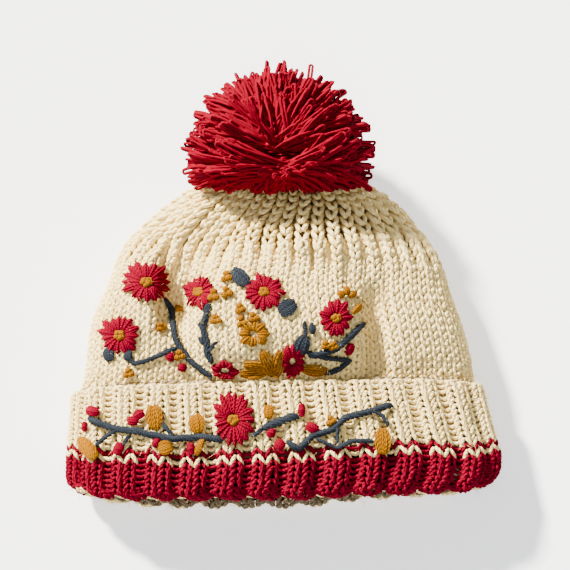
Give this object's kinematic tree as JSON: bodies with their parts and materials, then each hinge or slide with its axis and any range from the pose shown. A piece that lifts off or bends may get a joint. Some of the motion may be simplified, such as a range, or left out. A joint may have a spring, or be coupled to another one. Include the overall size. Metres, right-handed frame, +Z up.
{
  "type": "embroidered beanie",
  "caption": "Chunky hand-knitted bobble hat lying on its back, with a turned-up ribbed cuff, a yarn pompom and raised wool flowers on its front.",
  "frame": {"origin": "on the flat underside of the crown where the hat rests, on its middle line, 112 mm from the cuff's folded edge", "axes": "+X across the hat to the wearer's left seen from its front, +Y from the cuff's folded edge to the pompom, +Z up from the surface it lies on"},
  "size_m": [0.2397, 0.2444, 0.0856],
  "materials": {
    "cream_wool": "chunky knitted wool",
    "red_wool": "plied wool yarn",
    "gold_wool": "plied wool yarn",
    "navy_wool": "plied wool yarn of the embroidered twigs and leaves"
  },
  "bodies": {
    "root": {"crown": "cream_wool", "cuff": "cream_wool", "pompom": "red_wool", "red_daisy_left_high": "red_wool", "red_daisy_left_low": "red_wool", "red_daisy_valley": "red_wool", "red_daisy_middle": "red_wool", "red_daisy_right": "red_wool", "red_daisy_shaded": "red_wool", "red_daisy_cuff": "red_wool", "gold_daisy": "gold_wool", "heart_left_high": "gold_wool", "heart_left_low": "gold_wool", "heart_valley": "gold_wool", "heart_middle": "gold_wool", "heart_right": "gold_wool", "heart_cuff": "gold_wool"}
  },
  "joints": []
}
